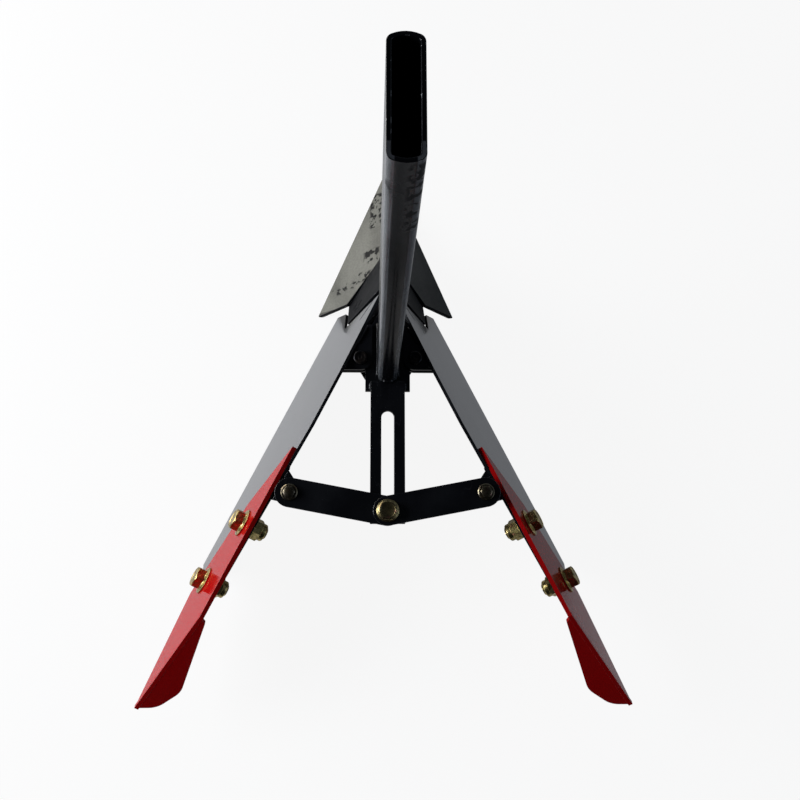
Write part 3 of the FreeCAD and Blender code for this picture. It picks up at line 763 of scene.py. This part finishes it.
class RIDGER_OT_clamp_bolt(bpy.types.Operator):
    """Makes the M10 flange bolt and nut that clamp the links on the slotted bar"""

    bl_idname = "ridger.clamp_bolt"
    bl_label = "Clamp bolt"

    def execute(self, context):
        pitch = context.scene.ridger_sizes.clamp_pitch / MM
        bright = tuple(context.scene.ridger_finish.zinc)
        zinc = yellow_zinc("yellow_chromate_zinc_on_clamp", bright, thick=0.85, dulled=0.4)
        flat_up = np.array([0.0, 0.0, 1.0])
        rows = [ring(0.0, 0.0)] + flanged_rows(CLAMP_FLANGE_R, CLAMP_FLANGE_T, CLAMP_AF, CLAMP_HEAD_H)
        rows += dish_rows(CLAMP_HEAD_H, 0.43 * CLAMP_AF, 0.4)
        base = placed(0.0, CLAMP_Y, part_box("clamp_bolt_head")[0].z / MM)
        head = stood(turned(rows), base, flat_up)
        built("clamp_bolt_head_made", [head], zinc, "clamp", ["clamp_bolt_head"])
        low, high = (corner.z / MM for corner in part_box("clamp_bolt_stem"))
        nut_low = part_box("clamp_nut")[0].z / MM
        tail = turned([ring(0.0, 0.0), ring(0.0, CLAMP_R - 1.1), ring(0.1, CLAMP_R - 0.9)])
        thread = threaded(0.4, nut_low - low + 0.5, CLAMP_R, pitch)
        length = high - low
        shaft = turned([ring(nut_low - low + 0.7, CLAMP_R), ring(length, CLAMP_R), ring(length, 0.0)])
        stem = stood(np.concatenate([tail, thread, shaft]), placed(0.0, CLAMP_Y, low), flat_up)
        built("clamp_bolt_stem_made", [stem], zinc, "clamp", ["clamp_bolt_stem"])
        rows = [ring(0.0, CLAMP_R + 0.05)]
        rows += flanged_rows(CLAMP_FLANGE_R, CLAMP_FLANGE_T, CLAMP_AF, CLAMP_NUT_H)
        rows += [ring(CLAMP_NUT_H, CLAMP_R + 0.8), ring(CLAMP_NUT_H - 0.7, CLAMP_R + 0.05)]
        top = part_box("clamp_nut")[1].z / MM
        nut = turned(rows) * np.array([1.0, 1.0, -1.0]) + placed(0.0, CLAMP_Y, top)
        built("clamp_nut_made", [nut], zinc, "clamp", ["clamp_nut"], closed=True)
        return {"FINISHED"}


class RIDGER_OT_link_pins(bpy.types.Operator):
    """Makes the two shouldered pins of the links, each with a washer and a domed nut on top"""

    bl_idname = "ridger.link_pins"
    bl_label = "Link pins"

    def execute(self, context):
        zinc = yellow_zinc("yellow_chromate_zinc_on_pins", to_linear("#8f8570"), thick=0.85, dulled=0.75)
        for side, sign in SIDES:
            node = "link_pin_" + side
            low, top = (corner.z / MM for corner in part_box(node))
            pin = self.pin(top - low) + placed(*LINK_PIN, low)
            body, slot = body_of(node), slot_of(node)
            built(node + "_made", [sided(pin, sign)], zinc, body, [node])
        return {"FINISHED"}

    def pin(self, length):
        """Nut, shaft through the lug, shoulder, shaft through the link, bevelled washer and domed hexagon."""
        nut_flats = 2.0 * LINK_HEAD_R * np.cos(np.pi / 6.0)
        washer = length - LINK_CAP_H - LINK_HEAD_T
        shoulder = washer - LINK_T - 2.0 * GAP
        rows = [ring(0.0, 0.0), ring(0.0, 0.42 * nut_flats)]
        flipped = hexagon_rows(0.1, LINK_NUT_H, nut_flats)[1:]
        rows += [(LINK_NUT_H - h, low, high, flats) for h, low, high, flats in flipped[::-1]]
        rows += [(LINK_NUT_H, 0.0, nut_flats, nut_flats), ring(LINK_NUT_H, LINK_PIN_R)]
        rows += [ring(LINK_NUT_H + LUG_T, LINK_PIN_R), ring(LINK_NUT_H + LUG_T, LINK_HEAD_R)]
        rows += [ring(shoulder, LINK_HEAD_R), ring(shoulder, LINK_PIN_R)]
        rows += [ring(washer, LINK_PIN_R), ring(washer, LINK_HEAD_R - 0.3)]
        rows += [ring(washer + 0.3, LINK_HEAD_R), ring(washer + 0.9, LINK_HEAD_R)]
        rows.append(ring(washer + LINK_HEAD_T, LINK_HEAD_R - 0.9))
        foot = washer + LINK_HEAD_T
        flat_part = 2.0
        rise = LINK_CAP_H - flat_part
        dome_low = foot + flat_part
        rows += [(foot, 0.0, LINK_CAP_AF, LINK_CAP_AF), (dome_low, 0.0, LINK_CAP_AF, LINK_CAP_AF)]
        turn = np.linspace(0.0, np.pi / 2.0, 10)
        dome = LINK_CAP_AF / 2.0 / np.cos(np.pi / 6.0) + 0.05
        rows += [(dome_low + rise * np.sin(t), 0.0, dome * np.cos(t), LINK_CAP_AF) for t in turn]
        return turned(rows)


class RIDGER_OT_pivot_pins(bpy.types.Operator):
    """Makes the two hinge pins, with their round heads on top and their nuts below"""

    bl_idname = "ridger.pivot_pins"
    bl_label = "Pivot pins"

    def execute(self, context):
        steel = oiled_steel("turned_steel_blackened")
        for side, sign in SIDES:
            node = "pivot_pin_" + side
            low, top = (corner.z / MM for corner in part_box(node))
            pin = self.pin(top - low) + placed(*PIVOT, low)
            built(node + "_made", [sided(pin, sign)], steel, "frame", [node])
        return {"FINISHED"}

    def pin(self, length):
        """Hexagon nut, shaft, and a head with rounded sides, a sunk ring and the lathe's centre mark."""
        flats = 2.0 * PIN_NUT_R * np.cos(np.pi / 6.0)
        flipped = hexagon_rows(0.1, PIN_NUT_H, flats)[1:]
        rows = [ring(0.0, 0.0), ring(0.0, 0.42 * flats)]
        rows += [(PIN_NUT_H - h, low, high, f) for h, low, high, f in flipped[::-1]]
        rows += [(PIN_NUT_H, 0.0, flats, flats), ring(PIN_NUT_H, PIN_R)]
        face = length - PIN_HEAD_H
        rows += [ring(face, PIN_R), ring(face, PIN_HEAD_R - 0.2), ring(face + 0.2, PIN_HEAD_R)]
        turn = np.linspace(0.0, np.pi / 2.0, 8)
        rows += [ring(length - 1.2 + 1.2 * np.sin(t), PIN_HEAD_R - 1.2 * (1.0 - np.cos(t))) for t in turn]
        rows += [ring(length, 4.4), ring(length - 0.5, 4.1), ring(length - 0.5, 2.2)]
        rows += [ring(length - 0.1, 1.9), ring(length - 0.1, 1.3), ring(length - 0.9, 0.0)]
        return turned(rows)


def facet_inside():
    """A point of the mouldboard's front facet on its inner face, and the way that face looks."""
    low, rear = wing(*CREASE_LOW), wing(*BOARD_EAR)
    top = wing(BOARD_NOSE_TOP[0], BOARD_NOSE_TOP[1], -BOARD_NOSE_IN)
    out = np.cross(top - low, rear - low)
    out = out / np.linalg.norm(out) * np.sign(np.dot(out, OUT))
    return low - out * BOARD_T, -out


def on_plane(point, facing, y, z):
    """The point of a plane that has a given y and z."""
    x = (facing @ point - facing[1] * y - facing[2] * z) / facing[0]
    return np.array([x, y, z])


# where the welds start and end, in millimetres of the solids' own frame
SHANK_WELD_Y = (1.0, 54.0)
BAR_WELD_Y = (-12.2, -4.2)
BAR_END_Y = -3.7
BAR_END_WELD = 5.0
CHEEK_Y = (5.0, 51.0)
CHEEK_WELD_Z = (27.0, 98.0)
SOLE_WELD_Y = (7.0, 49.0)
EAR_STITCHES_Y = ((9.0, 14.0), (32.0, 49.0))
LUG_WELD_INSET = 3.0


class RIDGER_OT_welds(bpy.types.Operator):
    """Makes the fillet welds that join the black plates"""

    bl_idname = "ridger.welds"
    bl_label = "Welds"

    def execute(self, context):
        sizes = context.scene.ridger_sizes
        leg, ripple = sizes.weld_leg / MM, sizes.weld_ripple
        black = tuple(context.scene.ridger_finish.black)
        paint = sprayed_enamel("black_enamel_over_weld", black, "#3a3c40", 0.15, (0.18, 0.28))
        up, down, right = (0.0, 0.0, 1.0), (0.0, 0.0, -1.0), (1.0, 0.0, 0.0)
        back, ahead = (0.0, -1.0, 0.0), (0.0, 1.0, 0.0)
        half, cheek = SHANK_W / 2.0, SHANK_W / 2.0 + CHEEK_T
        edge = BAR_W / 2.0
        low, high = CHEEK_WELD_Z
        # start, end, the two walls, leg
        runs = (
            ((half, SHANK_WELD_Y[0], HINGE_TOP), (half, SHANK_WELD_Y[1], HINGE_TOP), right, up, leg),
            ((edge, BAR_WELD_Y[0], HINGE_TOP), (edge, BAR_WELD_Y[1], HINGE_TOP), right, up, 0.8 * leg),
            ((half, CHEEK_Y[0], low), (half, CHEEK_Y[0], high), right, back, leg),
            ((half, CHEEK_Y[1], low), (half, CHEEK_Y[1], high), right, ahead, leg),
            ((cheek, SOLE_WELD_Y[0], SOLE_TOP), (cheek, SOLE_WELD_Y[1], SOLE_TOP), right, up, leg),
        )
        beads = [weld_bead(placed(*a), placed(*b), *walls, ripple) for a, b, *walls in runs]
        beads += [sided(bead, -1.0) for bead in beads]
        ends = [placed(x, BAR_END_Y, BAR_TOP) for x in (-BAR_END_WELD, BAR_END_WELD)]
        beads.append(weld_bead(*ends, back, up, leg, ripple))
        built("frog_welds", beads, paint, "frame")
        for side, sign in SIDES:
            inner = [sided(bead, sign) for bead in self.inner(leg, ripple, up, down)]
            built("ear_and_lug_welds_" + side, inner, paint, "wing_" + side)
        return {"FINISHED"}

    def inner(self, leg, ripple, up, down):
        """Stitches on the right mouldboard's inner face: at the ears clear of the pin, and under the lug."""
        point, facing = facet_inside()
        beads = []
        for z, free in ((EAR_Z + EAR_T, up), (EAR_LOW_Z, down)):
            for rear, front in EAR_STITCHES_Y:
                ends = [on_plane(point, facing, y + ORIGIN_Y, z) for y in (rear, front)]
                beads.append(weld_bead(*ends, free, facing, 0.85 * leg, ripple))
        ends = [wing(a, LUG_Z, -BOARD_T) for a in (LUG_FRONT + LUG_WELD_INSET, LUG_REAR - LUG_WELD_INSET)]
        beads.append(weld_bead(*ends, down, -OUT, leg, ripple))
        return beads


# name, place in metres, what it points at, width, height, radiance, colour
LAMPS = (
    ("key_left", (-1.3, 0.1, 0.7), (-0.1, -0.05, 0.0), 0.9, 0.6, 12.0, "#f6f9ff"),
    ("low_front_left", (-1.1, 0.9, 0.16), (0.0, 0.15, 0.03), 1.1, 0.3, 9.0, "#fff6ea"),
    ("fill_right", (1.6, -0.4, 1.0), (0.0, -0.05, 0.1), 1.0, 0.8, 1.0, "#d4e4ff"),
)


# the floor in metres: half its side, and the stretch over which it turns all white
FLOOR_HALF = 4.0
FLOOR_FADE = (0.5, 2.2)
# the share of plain white in the floor, as the camera and as a glossy surface see it
FLOOR_WHITE = 0.91
FLOOR_MIRRORED = 0.14
# the camera's place and sensor in millimetres, and its turn in degrees
CAMERA_X = -14.1
CAMERA_Y = -157.02
CAMERA_TURN = (11.643, -1.983, -0.111)
SENSOR = 36.0


class RIDGER_OT_stage(bpy.types.Operator):
    """Sets the floor, the world, the lamps and the camera"""

    bl_idname = "ridger.stage"
    bl_label = "Stage"

    def execute(self, context):
        settings = context.scene.ridger_stage
        self.floor()
        self.world(context)
        for lamp in LAMPS:
            self.lamp(*lamp)
        data = bpy.data.cameras.new("camera")
        data.lens = settings.lens
        data.sensor_width = SENSOR
        data.clip_start = 0.01
        camera = bpy.data.objects.new("camera", data)
        camera.location = (CAMERA_X * MM, CAMERA_Y * MM, settings.height)
        camera.rotation_euler = Euler(np.radians(CAMERA_TURN))
        context.collection.objects.link(camera)
        context.scene.camera = camera
        context.scene.view_settings.view_transform = "Standard"
        return {"FINISHED"}

    def floor(self):
        half = FLOOR_HALF
        mesh = bpy.data.meshes.new("floor")
        corners = [(-half, -half, 0.0), (half, -half, 0.0), (half, half, 0.0), (-half, half, 0.0)]
        mesh.from_pydata(corners, [], [(0, 1, 2, 3)])
        floor = bpy.data.objects.new("floor", mesh)
        bpy.context.collection.objects.link(floor)
        material = bpy.data.materials.new("pale_painted_board")
        material.use_nodes = True
        tree = material.node_tree
        tree.nodes.clear()
        output = add_node(tree, "ShaderNodeOutputMaterial")
        paint = add_node(tree, "ShaderNodeBsdfDiffuse", {"Color": to_linear("#f6f6f6")})
        white = add_node(tree, "ShaderNodeEmission", {"Strength": 1.0})
        path = add_node(tree, "ShaderNodeLightPath").outputs
        rays = {0: path["Is Camera Ray"], 1: path["Is Transmission Ray"]}
        seen = add_node(tree, "ShaderNodeMath", rays, operation="MAXIMUM")
        mirrored = times(tree, path["Is Glossy Ray"], FLOOR_MIRRORED)
        place = add_node(tree, "ShaderNodeTexCoord").outputs["Object"]
        away = add_node(tree, "ShaderNodeVectorMath", {0: place}, operation="LENGTH").outputs["Value"]
        white_share = times(tree, seen.outputs[0], ramp(tree, away, *FLOOR_FADE, FLOOR_WHITE, 1.0))
        share = add_node(tree, "ShaderNodeMath", {0: white_share, 1: mirrored}, operation="MAXIMUM")
        mix = add_node(
            tree, "ShaderNodeMixShader",
            {0: share.outputs[0], 1: paint.outputs["BSDF"], 2: white.outputs["Emission"]},
        )
        tree.links.new(mix.outputs["Shader"], output.inputs["Surface"])
        mesh.materials.append(material)

    def world(self, context):
        world = bpy.data.worlds.new("studio")
        world.use_nodes = True
        tree = world.node_tree
        tree.nodes.clear()
        output = add_node(tree, "ShaderNodeOutputWorld")
        direction = add_node(tree, "ShaderNodeTexCoord").outputs["Generated"]
        parts = add_node(tree, "ShaderNodeSeparateXYZ", {"Vector": direction}).outputs
        height = ramp(tree, parts["Z"], 0.25, 0.85)
        room = blend(tree, height, to_linear("#767e88"), to_linear("#1c1e22"))
        room = blend(tree, ramp(tree, parts["Y"], -0.75, -0.3, 1.0, 0.0), room, to_linear("#17181b"))
        path = add_node(tree, "ShaderNodeLightPath").outputs
        colour = blend(tree, path["Is Camera Ray"], room, (1.0, 1.0, 1.0, 1.0))
        light = add_node(tree, "ShaderNodeBackground", {"Color": colour, "Strength": 1.0})
        tree.links.new(light.outputs["Background"], output.inputs["Surface"])
        context.scene.world = world

    def lamp(self, name, place, target, width, height, radiance, colour):
        data = bpy.data.lights.new(name, "AREA")
        data.shape = "RECTANGLE"
        data.size = width
        data.size_y = height
        data.energy = radiance * np.pi * width * height
        data.color = to_linear(colour)[:3]
        lamp = bpy.data.objects.new(name, data)
        lamp.location = place
        lamp.rotation_euler = (Vector(place) - Vector(target)).to_track_quat("Z", "Y").to_euler()
        bpy.context.collection.objects.link(lamp)


class RIDGER_PT_panel(bpy.types.Panel):
    """The plow's pieces, finishes and stage"""

    bl_label = "Ridging plow body"
    bl_space_type = "VIEW_3D"
    bl_region_type = "UI"
    bl_category = "Ridger"

    def draw(self, context):
        layout = self.layout
        for group in (context.scene.ridger_finish, context.scene.ridger_sizes, context.scene.ridger_stage):
            for name in group.__annotations__:
                layout.prop(group, name)
        for operator in OPERATORS:
            layout.operator(operator.bl_idname)


OPERATORS = (
    RIDGER_OT_black_plates, RIDGER_OT_share, RIDGER_OT_shank, RIDGER_OT_red_extensions, RIDGER_OT_wing_bolts,
    RIDGER_OT_clamp_bolt, RIDGER_OT_link_pins, RIDGER_OT_pivot_pins, RIDGER_OT_welds, RIDGER_OT_stage,
)
CLASSES = (RidgerFinish, RidgerSizes, RidgerStage, *OPERATORS, RIDGER_PT_panel)


def register():
    for cls in CLASSES:
        bpy.utils.register_class(cls)
    bpy.types.Scene.ridger_finish = PointerProperty(type=RidgerFinish)
    bpy.types.Scene.ridger_sizes = PointerProperty(type=RidgerSizes)
    bpy.types.Scene.ridger_stage = PointerProperty(type=RidgerStage)


def unregister():
    del bpy.types.Scene.ridger_stage
    del bpy.types.Scene.ridger_sizes
    del bpy.types.Scene.ridger_finish
    for cls in reversed(CLASSES):
        bpy.utils.unregister_class(cls)


def main():
    register()
    bpy.ops.ridger.black_plates()
    bpy.ops.ridger.share()
    bpy.ops.ridger.shank()
    bpy.ops.ridger.red_extensions()
    bpy.ops.ridger.wing_bolts()
    bpy.ops.ridger.clamp_bolt()
    bpy.ops.ridger.link_pins()
    bpy.ops.ridger.pivot_pins()
    bpy.ops.ridger.welds()
    bpy.ops.ridger.stage()


if __name__ == "__main__":
    main()
